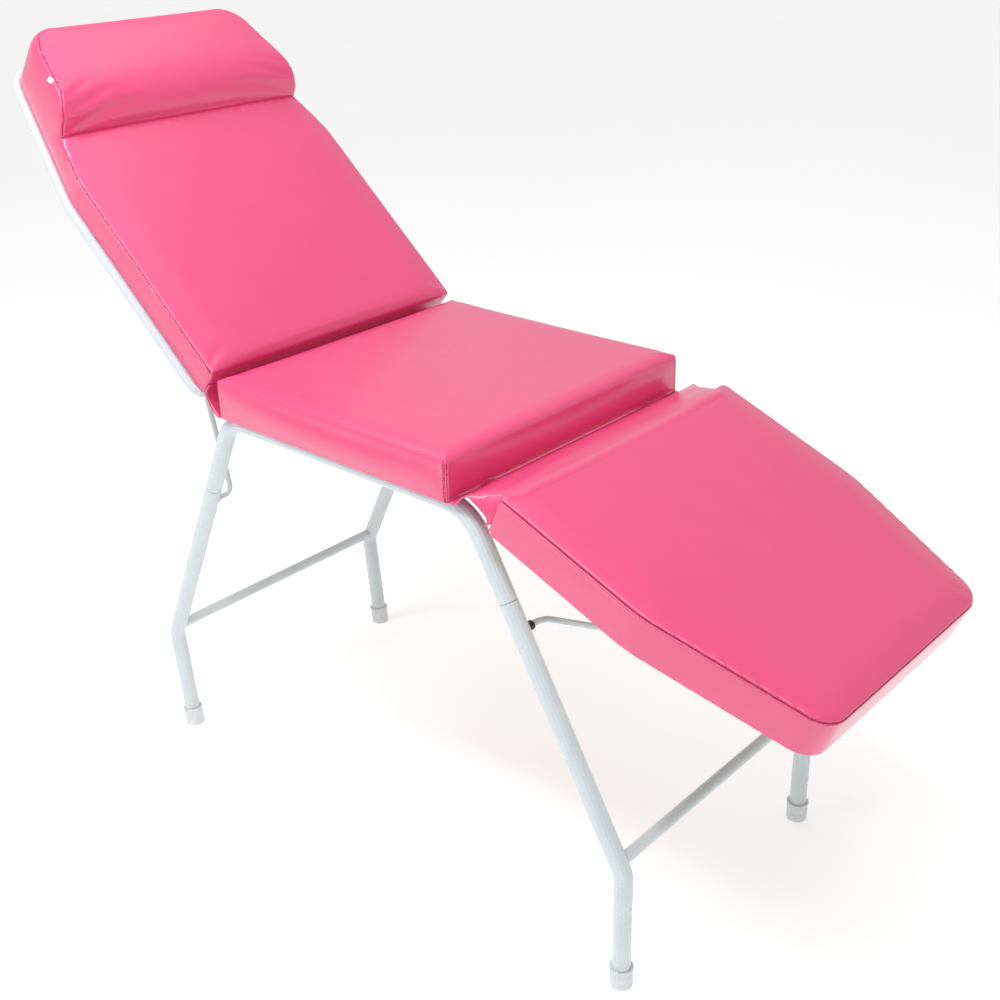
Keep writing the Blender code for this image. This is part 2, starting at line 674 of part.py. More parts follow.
def pillow(carrier, corners):
    """The headrest: a steep rolled front, a nearly level top and a rounded head end."""
    base = PAD_BASE + BACK_THICK + TOUCH
    shape = (  # height as a share, inset at the front, inset elsewhere
        (0.0, 0.000, 0.000),
        (0.35, 0.002, 0.000),
        (0.70, 0.012, 0.001),
        (0.92, 0.035, 0.006),
        (1.0, 0.075, 0.016),
    )
    levels = []
    for share, front, inset in shape:
        start = PILLOW_START + front
        stop = BACK_LENGTH - PILLOW_EDGE - inset
        half_at = lambda s: WIDTH / 2 - BACK_TAPER * (s - BACK_TAPER_START) - PILLOW_EDGE - inset
        ends = [(start, half_at(start)), (stop, half_at(stop))]
        ring_corners = [Vector((s, -y, 0)) for s, y in ends] + [Vector((s, y, 0)) for s, y in reversed(ends)]
        flat = rounded(ring_corners, (0.008, 0.048, 0.048, 0.008), 4, closed=True)
        levels.append(at_height(flat, -1, BACK_START, base + share * PILLOW_HEIGHT))
    loft("headrest_pillow", levels, PINK, carrier)
    half = WIDTH / 2 - BACK_TAPER * (TAG_S - TAG[0] / 2 - BACK_TAPER_START) - PILLOW_EDGE
    side = half + TOUCH + TAG[1] / 2
    middle = Vector((-(BACK_START + TAG_S), -side, base + 0.72 * PILLOW_HEIGHT))
    size = Vector(TAG) / 2
    box("blank_tag", middle - size, middle + size, CLOTH, carrier)


def leg_rest():
    carrier = pivot("legrest_hinge", LEG_HINGE, LEG_DROP)
    half = WIDTH / 2 - LEG_PAD_INSET
    corners = panel_corners(LEG_LENGTH, half, LEG_TAPER_START, LEG_TAPER)
    radii = (0.010, 0.150, 0.045, 0.045, 0.150, 0.010)
    pad("leg_pad", corners, radii, 1, LEG_START, PAD_BASE, LEG_THICK, PANEL_BOARD_THICK, 0.006, carrier)
    board("leg_board", corners, radii, 1, LEG_START, PAD_BASE, PANEL_BOARD_THICK, carrier)
    loop_corners = inset_corners(corners, LEG_LOOP_INSET)
    low_end = -0.002
    for i in (0, 5):
        loop_corners[i].x = low_end
    loop_radii = (0.024, 0.120, 0.040, 0.040, 0.120, 0.024)
    tube_loop("leg_frame_loop", loop_corners, loop_radii, 1, LEG_START, carrier)
    taper_from = LEG_START + LEG_TAPER_START
    loop_bar("leg_cross_tube", LEG_BAR, half, LEG_LOOP_INSET, LEG_TAPER, taper_from, carrier)
    for side, sign in SIDES.items():
        hinge_lug(f"leg_hinge_lug_{side}", LEG_START + low_end, 0.006, 1, sign, carrier)
        rack(f"leg_rack_{side}", LEG_NOTCHES, LEG_BAR, 1, sign, carrier)


# ---- Stays ----
def stay(name, pivot_at, hinge, turn, reach):
    """A U-shaped rod: its crossbar is under a panel's notched plates, its ends turn out to the legs."""
    flat = Vector((reach, 0, -STAY_DROP))
    crossbar = hinge + Matrix.Rotation(turn, 3, "Y") @ flat
    arm = crossbar - pivot_at
    tilt = math.atan2(arm.x, arm.z)
    carrier = pivot(f"{name}_pivot", pivot_at, tilt)
    end = LEG_Y - LEG_R - TOUCH
    corners = [
        Vector((0, -end, 0)),
        Vector((0, -STAY_Y, 0)),
        Vector((0, -STAY_Y, arm.length)),
        Vector((0, STAY_Y, arm.length)),
        Vector((0, STAY_Y, 0)),
        Vector((0, end, 0)),
    ]
    bend = STAY_BEND
    tight = min(bend, (end - STAY_Y) * 0.5)
    path = rounded(corners, (0, tight, bend, bend, tight, 0), 5)
    rod(name, path, ROD_R, Vector((1, 0, 0)), WHITE, carrier)


# ---- Flaps ----
def pad_end_points(hinge, turn, start, places):
    """Points off the inner end of a turned pad, each (gap, height above the pad's underside)."""
    side = 1 if start > 0 else -1
    off = FLAP_THICK / 2 + 2 * TOUCH
    local = [Vector((start - side * (off + gap), 0, PAD_BASE + height)) for gap, height in places]
    return [hinge + Matrix.Rotation(turn, 3, "Y") @ p for p in local]


def flaps():
    """Slack vinyl across both joints, fixed low on the seat's faces and on the two pads' inner ends."""
    off = FLAP_THICK / 2 + 2 * TOUCH
    rear = ((-off, 0.0145), (-off - 0.0008, 0.0095), (-0.0070, 0.0085), (-0.0200, 0.0200))
    path = [Vector((SEAT_X + x, 0, SEAT_BOTTOM + z)) for x, z in rear]
    path += pad_end_points(BACK_HINGE, RECLINE, -BACK_START, ((0.0035, 0.0055), (0, 0.012), (0, 0.018)))
    strip("rear_flap", smooth_path(path), FLAP_HALF_WIDTH, FLAP_THICK, PINK)
    front = (
        (off, 0.0115),
        (off + 0.0008, 0.0070),
        (0.0070, 0.0048),
        (0.0165, 0.0062),
        (0.0307, 0.0185),
        (0.0437, 0.0275),
        (0.0557, 0.0225),
        (0.0640, 0.0060),
    )
    path = [Vector((SEAT_FRONT + x, 0, SEAT_BOTTOM + z)) for x, z in front]
    path += pad_end_points(LEG_HINGE, LEG_DROP, LEG_START, ((0.0015, 0.014), (0, 0.008), (0, 0.004)))
    strip("front_flap", smooth_path(path), FLAP_HALF_WIDTH, FLAP_THICK, PINK)


rails()
seat_bars()
legs()
seat_cushion()
brackets()
bushings()
backrest()
leg_rest()
stay("back_stay", BACK_STAY_PIVOT, BACK_HINGE, RECLINE, -BACK_STAY_REACH)
stay("leg_stay", LEG_STAY_PIVOT, LEG_HINGE, LEG_DROP, LEG_STAY_REACH)
flaps()
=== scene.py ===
"""Looks of the facial treatment bed: sewn pink vinyl pads and flaps on its white tube frame."""

import json
import math

import bmesh
import bpy
import numpy as np
from mathutils import Matrix, Vector, noise
from mathutils.bvhtree import BVHTree
from mathutils.kdtree import KDTree


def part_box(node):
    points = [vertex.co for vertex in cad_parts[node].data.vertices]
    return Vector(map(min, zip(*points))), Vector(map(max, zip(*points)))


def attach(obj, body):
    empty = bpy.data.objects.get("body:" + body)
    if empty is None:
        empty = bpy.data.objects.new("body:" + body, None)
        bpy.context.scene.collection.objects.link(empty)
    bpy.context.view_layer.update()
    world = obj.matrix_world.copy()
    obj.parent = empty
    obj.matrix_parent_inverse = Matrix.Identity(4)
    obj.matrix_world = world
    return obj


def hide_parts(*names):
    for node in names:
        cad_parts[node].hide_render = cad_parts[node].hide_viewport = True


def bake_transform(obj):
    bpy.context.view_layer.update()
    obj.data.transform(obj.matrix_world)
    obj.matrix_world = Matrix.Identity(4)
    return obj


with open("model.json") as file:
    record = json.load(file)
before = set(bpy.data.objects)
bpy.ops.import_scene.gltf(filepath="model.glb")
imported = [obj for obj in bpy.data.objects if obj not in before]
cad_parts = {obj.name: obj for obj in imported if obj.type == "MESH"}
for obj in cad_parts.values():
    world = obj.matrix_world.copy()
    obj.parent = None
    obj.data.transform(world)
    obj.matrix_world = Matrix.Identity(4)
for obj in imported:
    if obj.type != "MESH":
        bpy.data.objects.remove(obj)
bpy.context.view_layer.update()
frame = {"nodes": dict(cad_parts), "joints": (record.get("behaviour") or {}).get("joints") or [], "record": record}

# ---- Driving values: lengths are in metres, unless the comment says otherwise ----
VOXEL = 0.0055
PRESSURE = 4.0  # of the air in a cover, in the cloth solver's unit
SIM_FRAMES = 20  # frames of cloth simulation
SEAT_CAP = 0.0030  # how far a point of the seat's cover may move when it is puffed
PANEL_CAP = 0.0035  # the same for the two hinged pads
SEAT_RADIUS = 0.007  # of the seat's upright corners
SEAT_ROUND = 0.009  # of the seat's top edges
SEAT_SHRINK = 0.0015  # room left for the pressure inside the CAD solid
PANEL_SHRINK = 0.001
SEAM_BELOW_TOP = 0.0035  # the sewn edge under the top of a hinged pad's CAD solid
SEAM_INSET = 0.0012  # of the sewn edge from the pad's outline
SEAM_STEP = 0.0004  # the top panel's edge inside the side wall's
ROLL = 0.018  # how far in from the edge the top panel starts to roll down
RISE = 0.0085  # of the top panel above its sewn edge
PIN_REACH = 0.006  # from a seam, within which the cloth is held
POCKET_INSET = 0.0062  # of the board's recess from the pad's outline
BELOW = 0.008  # extra depth under each cushion, cut off again once it is puffed
CUT_MARGIN = 0.03  # by which the cutter passes the cushion on each side and below
LEG_SEAM_SKIP = 12  # points left out at each end of the leg rest's seam, round its hinge-side corners
BACK_SEAM_END = 0.462  # along the backrest's pad, where its side seams end beside the headrest
PILLOW_START = 0.500  # along the backrest's pad, where the headrest begins
PILLOW_FALL = 0.009
PILLOW_CROWN = 0.009  # left for the pressure to raise
PILLOW_ROLL = 0.070  # how far the pillow's front leans in up to its top
PILLOW_RIM = 0.014  # the same for its other edges
PILLOW_INSET = 0.001  # of the pillow's foot from the pad's outline
FLAP_THICK = 0.0012
RAIL_Y = 0.2503  # of the seat's side rails, which the front flap passes over
HINGE_Y = 0.188  # of the leg rest's hinge rivets
RAIL_LIFT = 0.0020  # of the front flap over a rail
HINGE_LIFT = 0.0050  # of the front flap over a rivet
STITCH_PITCH = 0.0046
STITCH_LENGTH = 0.0030
STITCH_LIFT = 0.0001
STITCH_SPLIT = 4  # points of the seam's line in each stitch
THREAD = 0.0006
LIP = 0.0016
PATH_PITCH = 0.004  # between the points of a seam's line where it only holds or guides
GROOVE_PITCH = 0.001  # the same where a groove is pressed
BACK_TAPER_START = 0.410  # along the pad, where its sides start to draw in
BACK_TAPER = 0.200  # sideways for each metre along
LEG_TAPER_START = 0.2585
LEG_TAPER = 0.2355
BACK_RADII = (0.010, 0.200, 0.050, 0.050, 0.200, 0.010)
LEG_RADII = (0.010, 0.180, 0.045, 0.045, 0.180, 0.010)

# ---- Camera and light ----
CAMERA_AT = Vector((1.43823, -1.43758, 1.50894))
CAMERA_AZIMUTH = math.radians(42.805)
CAMERA_DOWN = math.radians(25.599)
CAMERA_ROLL = math.radians(-1.843)
LENS = 47.86  # in millimetres, on a 36 mm sensor
WORLD_STRENGTH = 0.60
FLOOR_GLOW = 0.32


# ---- Where the frame's parts are ----
def joint_named(name):
    return next(j for j in frame["joints"] if j["name"] == name)


def panel_matrix(joint_name):
    """From a panel's level frame, hinge at the origin, to where it is at rest."""
    joint = joint_named(joint_name)
    turn = -math.radians(joint["range_deg"][0])
    return Matrix.Translation(joint["pos_m"]) @ Matrix.Rotation(turn, 4, "Y")


def level_box(node, panel):
    """A node's corners in its panel's level frame."""
    to_level = panel.inverted()
    points = np.array([to_level @ v.co for v in frame["nodes"][node].data.vertices])
    return Vector(points.min(0)), Vector(points.max(0))


BACK = panel_matrix("backrest_hinge")
LEG = panel_matrix("legrest_hinge")
SEAT_LOW, SEAT_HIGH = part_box("seat_pad")
BACK_LOW, BACK_HIGH = level_box("back_pad", BACK)
LEG_LOW, LEG_HIGH = level_box("leg_pad", LEG)
PILLOW_HIGH = level_box("headrest_pillow", BACK)[1]
BACK_LENGTH = BACK_HIGH.x - BACK_LOW.x
BACK_START = -BACK_HIGH.x
LEG_LENGTH = LEG_HIGH.x - LEG_LOW.x


# ---- Materials ----
class Nodes:
    """A material's node tree, built a node at a time."""

    def __init__(self, name):
        self.made = bpy.data.materials.new(name)
        self.made.use_nodes = True
        self.tree = self.made.node_tree
        self.shader = self.tree.nodes["Principled BSDF"]
        self.place = self.add("ShaderNodeTexCoord").outputs["Object"]

    def add(self, kind, links=None, **values):
        node = self.tree.nodes.new(kind)
        for key, value in values.items():
            setattr(node, key, value)
        for socket, source in (links or {}).items():
            if isinstance(source, bpy.types.NodeSocket):
                self.tree.links.new(source, node.inputs[socket])
            else:
                node.inputs[socket].default_value = source
        return node

    def noise(self, scale, detail=3.0, roughness=0.5):
        links = {"Vector": self.place, "Scale": scale, "Detail": detail, "Roughness": roughness}
        return self.add("ShaderNodeTexNoise", links).outputs["Fac"]

    def ramp(self, source, low, high, low_at=0.35, high_at=0.65):
        made = self.add("ShaderNodeValToRGB", {"Fac": source})
        made.color_ramp.elements[0].position = low_at
        made.color_ramp.elements[0].color = (*low, 1)
        made.color_ramp.elements[1].position = high_at
        made.color_ramp.elements[1].color = (*high, 1)
        return made.outputs["Color"]

    def range(self, source, low, high):
        made = self.add("ShaderNodeMapRange", {"Value": source, "To Min": low, "To Max": high})
        return made.outputs["Result"]

    def bump(self, height, strength, distance, before=None):
        links = {"Height": height, "Strength": strength, "Distance": distance}
        if before:
            links["Normal"] = before
        return self.add("ShaderNodeBump", links).outputs["Normal"]

    def set(self, **values):
        for key, value in values.items():
            socket = self.shader.inputs[key.replace("_", " ")]
            if isinstance(value, bpy.types.NodeSocket):
                self.tree.links.new(value, socket)
            else:
                socket.default_value = value


def vinyl(name, colour, rough):
    """Embossed soft vinyl: fine pebble grain, a faint mottled tone and slightly uneven gloss."""
    m = Nodes(name)
    deep = tuple(c * 0.985 for c in colour)
    pale = tuple(min(1, c * 1.01) for c in colour)
    tone = m.ramp(m.noise(14, 4), deep, pale)
    pebble = m.add("ShaderNodeTexVoronoi", {"Vector": m.place, "Scale": 720.0}).outputs["Distance"]
    pores = m.noise(1500, 2)
    normal = m.bump(pebble, 0.10, 0.0004)
    normal = m.bump(pores, 0.06, 0.0003, normal)
    normal = m.bump(m.noise(45, 2), 0.05, 0.0012, normal)
    m.set(Base_Color=tone, Roughness=m.range(m.noise(60, 3), rough - 0.03, rough + 0.05), Normal=normal)
    m.set(Coat_Weight=1.0, Coat_Roughness=0.24, Specular_IOR_Level=0.50)
    return m.made


def paint(name, colour, rough):
    """Powder coat: faint orange peel and a little grey in the hollows of its tone."""
    m = Nodes(name)
    tone = m.ramp(m.noise(22, 3), tuple(c * 0.955 for c in colour), colour)
    normal = m.bump(m.noise(380, 2), 0.05, 0.0005)
    m.set(Base_Color=tone, Roughness=m.range(m.noise(70, 2), rough - 0.04, rough + 0.06), Normal=normal)
    m.set(Coat_Weight=0.25, Coat_Roughness=0.15)
    return m.made


def plastic(name, colour, rough):
    """Moulded plastic with a fine matt texture and scuffs."""
    m = Nodes(name)
    scuff = m.ramp(m.noise(120, 5, 0.7), tuple(c * 0.86 for c in colour), colour, 0.40, 0.60)
    normal = m.bump(m.noise(900, 2), 0.12, 0.0003)
    m.set(Base_Color=scuff, Roughness=m.range(m.noise(90, 3), rough - 0.06, rough + 0.08), Normal=normal)
    return m.made


def wood(name):
    """Raw plywood: long pale and dark grain lines with fibres."""
    m = Nodes(name)
    stretch = m.add("ShaderNodeMapping", {"Vector": m.place, "Scale": (3.0, 38.0, 38.0)}).outputs["Vector"]
    grain = m.add("ShaderNodeTexNoise", {"Vector": stretch, "Scale": 4.0, "Detail": 6.0}).outputs["Fac"]
    tone = m.ramp(grain, (0.33, 0.19, 0.09), (0.62, 0.44, 0.26), 0.30, 0.70)
    m.set(Base_Color=tone, Roughness=m.range(grain, 0.62, 0.80), Normal=m.bump(grain, 0.15, 0.0006))
    return m.made


def zinc(name):
    """Plated steel with fine turning marks."""
    m = Nodes(name)
    mark = m.noise(1100, 2)
    tone = m.ramp(m.noise(160, 3), (0.50, 0.51, 0.53), (0.66, 0.67, 0.68))
    normal = m.bump(mark, 0.08, 0.0002)
    m.set(Base_Color=tone, Metallic=1.0, Roughness=m.range(mark, 0.28, 0.42), Normal=normal)
    return m.made


def weave(name, colour, pitch):
    """Woven tape or thread: crossed fine waves."""
    m = Nodes(name)
    across = {"Vector": m.place, "Scale": 1 / pitch}
    one = m.add("ShaderNodeTexWave", across, bands_direction="X").outputs["Fac"]
    two = m.add("ShaderNodeTexWave", across, bands_direction="Z").outputs["Fac"]
    both = m.add("ShaderNodeMath", {0: one, 1: two}, operation="MULTIPLY").outputs["Value"]
    tone = m.ramp(both, tuple(c * 0.88 for c in colour), colour, 0.1, 0.6)
    m.set(Base_Color=tone, Roughness=m.range(both, 0.75, 0.92), Normal=m.bump(both, 0.3, 0.0003))
    return m.made


PINK = (0.74, 0.053, 0.192)
VINYL = vinyl("pink_vinyl_grain", PINK, 0.34)
BACKING = weave("white_knit_backing", (0.82, 0.80, 0.80), 0.0016)
# Stitch thread, darker than the vinyl: partly the thread's own colour and partly painted shade of the stitch
# holes.
STITCH_WITH_PAINTED_SHADE = weave("stitch_thread_painted_shade", (0.36, 0.045, 0.13), 0.0012)
PAINT = paint("white_powder_coat", (0.60, 0.66, 0.69), 0.28)
FINISHES = {
    "white_paint": PAINT,
    "foot_plastic": plastic("grey_foot_plastic", (0.70, 0.73, 0.75), 0.45),
    "black_plastic": plastic("black_bushing_plastic", (0.02, 0.02, 0.022), 0.42),
    "plywood": wood("plywood_grain"),
    "zinc_steel": zinc("zinc_plate"),
    "tag_cloth": weave("tag_tape", (0.88, 0.88, 0.88), 0.0010),
    "pink_vinyl": VINYL,
}


def finish_cad_nodes():
    for part in frame["record"]["subparts"]:
        mesh = frame["nodes"][part["node"]].data
        mesh.materials.clear()
        mesh.materials.append(FINISHES[part["material_slot"]])


# ---- Mesh helpers ----
def new_mesh(name, points, faces, *finishes):
    mesh = bpy.data.meshes.new(name)
    mesh.from_pydata([tuple(p) for p in points], [], faces)
    shape = bmesh.new()
    shape.from_mesh(mesh)
    bmesh.ops.recalc_face_normals(shape, faces=shape.faces)
    shape.to_mesh(mesh)
    shape.free()
    for finish in finishes:
        mesh.materials.append(finish)
    mesh.shade_smooth()
    made = bpy.data.objects.new(name, mesh)
    bpy.context.scene.collection.objects.link(made)
    return made


def positions(obj):
    flat = np.empty(len(obj.data.vertices) * 3)
    obj.data.vertices.foreach_get("co", flat)
    return flat.reshape(-1, 3)


def vertex_normals(obj):
    flat = np.empty(len(obj.data.vertices) * 3)
    obj.data.vertices.foreach_get("normal", flat)
    return flat.reshape(-1, 3)


def set_positions(obj, points):
    obj.data.vertices.foreach_set("co", np.asarray(points, np.float32).ravel())
    obj.data.update()


def apply_modifiers(obj):
    """Puts the shape that the modifiers make into the mesh itself."""
    shown = obj.evaluated_get(bpy.context.evaluated_depsgraph_get())
    mesh = bpy.data.meshes.new_from_object(shown)
    finishes = list(obj.data.materials)
    obj.modifiers.clear()
    obj.data = mesh
    mesh.materials.clear()
    for finish in finishes:
        mesh.materials.append(finish)
    mesh.shade_smooth()


def rounded(corners, radii, steps):
    """Closed outline with each corner turned into an arc."""
    path = []
    count = len(corners)
    for i, corner in enumerate(corners):
        before = (corners[i - 1] - corner).normalized()
        after = (corners[(i + 1) % count] - corner).normalized()
        half = before.angle(after) / 2
        middle = corner + (before + after).normalized() * (radii[i] / math.sin(half))
        reach = radii[i] / math.tan(half)
        start = corner + before * reach - middle
        end = corner + after * reach - middle
        sweep = start.angle(end)
        for step in range(steps + 1):
            share = step / steps
            one = math.sin((1 - share) * sweep) / math.sin(sweep)
            two = math.sin(share * sweep) / math.sin(sweep)
            path.append(middle + start * one + end * two)
    return path


def inset_corners(corners, inset):
    moved = []
    count = len(corners)
    for i, corner in enumerate(corners):
        before = (corner - corners[i - 1]).normalized()
        after = (corners[(i + 1) % count] - corner).normalized()
        inward = Vector((-before.y, before.x, 0))
        turn = before.cross(after).z
        slide = (1 - before.dot(after)) / turn if abs(turn) > 1e-6 else 0
        moved.append(corner + inward * inset - before * inset * slide)
    return moved


def outline(corners, radii, inset, steps=8):
    kept = [max(radius - inset, 0.003) for radius in radii]
    return rounded(inset_corners(corners, inset), kept, steps)


def loft(name, levels, *finishes):
    """A closed solid through rings of points, with flat faces at both ends."""
    count = len(levels[0])
    points = [p for level in levels for p in level]
    faces = []
    for i in range(len(levels) - 1):
        for k in range(count):
            m = (k + 1) % count
            faces.append((i * count + k, i * count + m, (i + 1) * count + m, (i + 1) * count + k))
    faces.append(tuple(range(count)))
    faces.append(tuple(range(len(points) - count, len(points))))
    return new_mesh(name, points, faces, *finishes)


def resampled(path, pitch, closed=False):
    """Evenly spaced points along a path."""
    points = list(path) + ([path[0]] if closed else [])
    spans = [(b - a).length for a, b in zip(points, points[1:])]
    total = sum(spans)
    count = max(2, round(total / pitch))
    made, i, passed = [], 0, 0.0
    for k in range(count if closed else count + 1):
        at = total * k / count
        while i < len(spans) - 1 and passed + spans[i] < at:
            passed += spans[i]
            i += 1
        made.append(points[i].lerp(points[i + 1], min(1.0, (at - passed) / max(spans[i], 1e-9))))
    return made


def surface_of(obj):
    return BVHTree.FromObject(obj, bpy.context.evaluated_depsgraph_get())


def laid_on(path, surface):
    """Each point of a path moved to the surface, with the surface's normal there."""
    return [surface.find_nearest(p)[:2] for p in path]


def tube_along(points, normals, radius, sides, flat=1.0):
    """Vertices and faces of a thin tube, flattened towards the surface when flat is under 1."""
    count = len(points)
    rings, faces = [], []
    for i in range(count):
        along = (points[min(i + 1, count - 1)] - points[max(i - 1, 0)]).normalized()
        side = along.cross(normals[i]).normalized()
        up = side.cross(along)
        for k in range(sides):
            t = 2 * math.pi * k / sides
            rings.append(points[i] + side * math.cos(t) * radius + up * math.sin(t) * radius * flat)
    for i in range(count - 1):
        here, there = i * sides, (i + 1) * sides
        for k in range(sides):
            m = (k + 1) % sides
            faces.append((here + k, here + m, there + m, there + k))
    faces.append(tuple(range(sides)))
    faces.append(tuple(range((count - 1) * sides, count * sides)))
    return rings, faces


def stitches(name, path, surface, finish):
    """A row of short sewn threads that dip into the surface at both ends."""
    points, faces = [], []
    dense = resampled(path, STITCH_PITCH / STITCH_SPLIT)
    for i in range(0, len(dense) - STITCH_SPLIT, STITCH_SPLIT):
        ends = laid_on(dense[i:i + STITCH_SPLIT], surface)
        a, b = ends[0], ends[-1]
        middle = (a[0] + b[0]) / 2
        normal = (a[1] + b[1]).normalized()
        run = (b[0] - a[0]).normalized() * (STITCH_LENGTH / 2)
        dip = normal * THREAD * 0.9
        lift = normal * STITCH_LIFT
        start, end = middle - run, middle + run
        near, far = middle - run * 0.6 + lift, middle + run * 0.6 + lift
        ring, quads = tube_along([start - dip, near, far, end - dip], [normal] * 4, THREAD, 6)
        base = len(points)
        points += ring
        faces += [tuple(v + base for v in quad) for quad in quads]
    return new_mesh(name, points, faces, finish)


def lip(name, path, surface, radius, finish):
    """The folded edge of the vinyl beside a seam, half sunk in the surface."""
    laid = laid_on(resampled(path, PATH_PITCH), surface)
    points, faces = tube_along([p for p, _ in laid], [n for _, n in laid], radius, 8, 0.7)
    return new_mesh(name, points, faces, finish)


def tree_of(path):
    """A search tree of a path's points."""
    tree = KDTree(len(path))
    for i, p in enumerate(path):
        tree.insert(p, i)
    tree.balance()
    return tree


def groove(obj, path, depth, width, ridge=0.0):
    """Presses a line into the surface along a path, with a low ridge on each side if ridge is over 0."""
    tree = tree_of(path)
    normals = vertex_normals(obj)
    points = positions(obj)
    away = np.array([tree.find(p)[2] for p in points])
    shift = -depth * np.exp(-((away / width) ** 2))
    shift += ridge * np.exp(-(((away - 2.6 * width) / (1.2 * width)) ** 2))
    set_positions(obj, points + normals * shift[:, None])


def refine_near(obj, path, reach):
    """Halves the mesh's spacing near a path, so that a narrow groove can be pressed there."""
    tree = tree_of(path)
    shape = bmesh.new()
    shape.from_mesh(obj.data)
    near = [e for e in shape.edges if tree.find((e.verts[0].co + e.verts[1].co) / 2)[2] < reach]
    bmesh.ops.subdivide_edges(shape, edges=near, cuts=1, use_grid_fill=True)
    shape.to_mesh(obj.data)
    shape.free()
    obj.data.shade_smooth()


def inflate(obj, panel, pinned, cap):
    """Remeshes a closed shape evenly, then lets air pressure puff it as cloth held at the pinned points."""
    obj.data.transform(panel.inverted())
    remesh = obj.modifiers.new("even", "REMESH")
    remesh.mode = "VOXEL"
    remesh.voxel_size = VOXEL
    apply_modifiers(obj)
    obj.data.transform(panel)
    start = positions(obj)
    held = obj.vertex_groups.new(name="held")
    weights = pinned(start)
    for level in np.unique(np.round(weights, 1)):
        chosen = np.flatnonzero(np.round(weights, 1) == level)
        held.add([int(i) for i in chosen], float(level), "REPLACE")
    cloth = obj.modifiers.new("cloth", "CLOTH")
    settings = cloth.settings
    settings.quality = 4
    settings.mass = 0.3
    settings.tension_stiffness = 18
    settings.compression_stiffness = 18
    settings.shear_stiffness = 6
    settings.bending_stiffness = 1.5
    settings.vertex_group_mass = "held"
    settings.use_pressure = True
    settings.uniform_pressure_force = PRESSURE
    settings.effector_weights.gravity = 0
    cloth.point_cache.frame_start = 1
    cloth.point_cache.frame_end = SIM_FRAMES
    for number in range(1, SIM_FRAMES + 1):
        bpy.context.scene.frame_set(number)
    apply_modifiers(obj)
    bpy.context.scene.frame_set(1)
    moved = positions(obj) - start
    length = np.linalg.norm(moved, axis=1, keepdims=True)
    limit = cap * np.tanh(length / cap)
    set_positions(obj, start + moved * (limit / np.maximum(length, 1e-9)))
    finer = obj.modifiers.new("finer", "SUBSURF")
    finer.levels = 1
    finer.render_levels = 1
    apply_modifiers(obj)


def trim_underside(obj, corners, radii, direction, start, low, top, panel):
    """Cuts the cover level at its lower rim, and cuts the recess that the board lies in."""
    steps = (
        (-CUT_MARGIN, low - CUT_MARGIN),
        (-CUT_MARGIN, low),
        (POCKET_INSET, low),
        (POCKET_INSET, top + 0.0003),
    )
    rings = [placed(outline(corners, radii, inset), direction, start, z, panel) for inset, z in steps]
    cutter = loft("underside_cutter", rings)
    change = obj.modifiers.new("underside", "BOOLEAN")
    change.operation = "DIFFERENCE"
    change.object = cutter
    apply_modifiers(obj)
    obj.data.set_sharp_from_angle(angle=math.radians(50))
    bpy.data.objects.remove(cutter, do_unlink=True)


def placed(flat, direction, start, z, panel):
    """A flat ring moved to its height in the panel's level frame, and from there to rest."""
    return [panel @ Vector((direction * (start + p.x), p.y, z)) for p in flat]


# ---- Seat cushion ----
def seat_cushion():
    """A boxed pad with rounded top edges and no top seam."""
    low, high = SEAT_LOW, SEAT_HIGH
    ends = ((low.x, low.y), (high.x, low.y), (high.x, high.y), (low.x, high.y))
    corners = [Vector((x, y, 0)) for x, y in ends]
    radii = [SEAT_RADIUS] * 4
    wall = outline(corners, radii, SEAT_SHRINK)
    levels = [[Vector((p.x, p.y, z)) for p in wall] for z in (low.z - BELOW, low.z + 0.02)]
    for step in range(7):
        t = math.pi / 2 * step / 6
        inset = SEAT_SHRINK + SEAT_ROUND * (1 - math.cos(t))
        z = high.z - SEAT_SHRINK - SEAT_ROUND * (1 - math.sin(t))
        levels.append([Vector((p.x, p.y, z)) for p in outline(corners, radii, inset)])
    made = loft("seat_cushion_cover", levels, VINYL)

    def pinned(points):
        from_end = np.minimum(points[:, 0] - low.x, high.x - points[:, 0])
        from_side = np.minimum(points[:, 1] - low.y, high.y - points[:, 1])
        corner = np.hypot(from_end, from_side) < 0.010
        under = points[:, 2] < low.z + 0.008
        return np.where(under | corner, 1.0, 0.0)

    still = Matrix.Identity(4)
    inflate(made, still, pinned, SEAT_CAP)
    trim_underside(made, corners, radii, 1, 0, low.z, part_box("seat_board")[1].z, still)
    return made


def seat_seams(cover):
    """Two rows of stitches, one on each side of the fold down each upright corner."""
    made = []
    apart = 0.0042
    for end, x, toward in (("rear", SEAT_LOW.x, 1), ("front", SEAT_HIGH.x, -1)):
        for side, y, inward in (("left", SEAT_HIGH.y, -1), ("right", SEAT_LOW.y, 1)):
            low, high = SEAT_LOW.z + 0.003, SEAT_HIGH.z - 0.007
            rows = [
                [Vector((x, y + inward * apart, z)) for z in (low, high)],
                [Vector((x + toward * apart, y, z)) for z in (low, high)],
            ]
            for row in rows:
                sewn_edge(cover, row)
            surface = surface_of(cover)
            for number, row in enumerate(rows):
                made.append(stitches(f"seat_{end}_{side}_stitch_{number}", row, surface, STITCH_WITH_PAINTED_SHADE))
            fold = [Vector((x + toward * 0.001, y + inward * 0.001, z)) for z in (low, high)]
            made.append(lip(f"seat_{end}_{side}_fold", fold, surface, 0.0015, VINYL))
    return made


# ---- Hinged cushions ----
def panel_corners(length, half, taper_start, taper):
    end = half - taper * (length - taper_start)
    side = [(0, half), (taper_start, half), (length, end)]
    return [Vector((x, -y, 0)) for x, y in side] + [Vector((x, y, 0)) for x, y in reversed(side)]


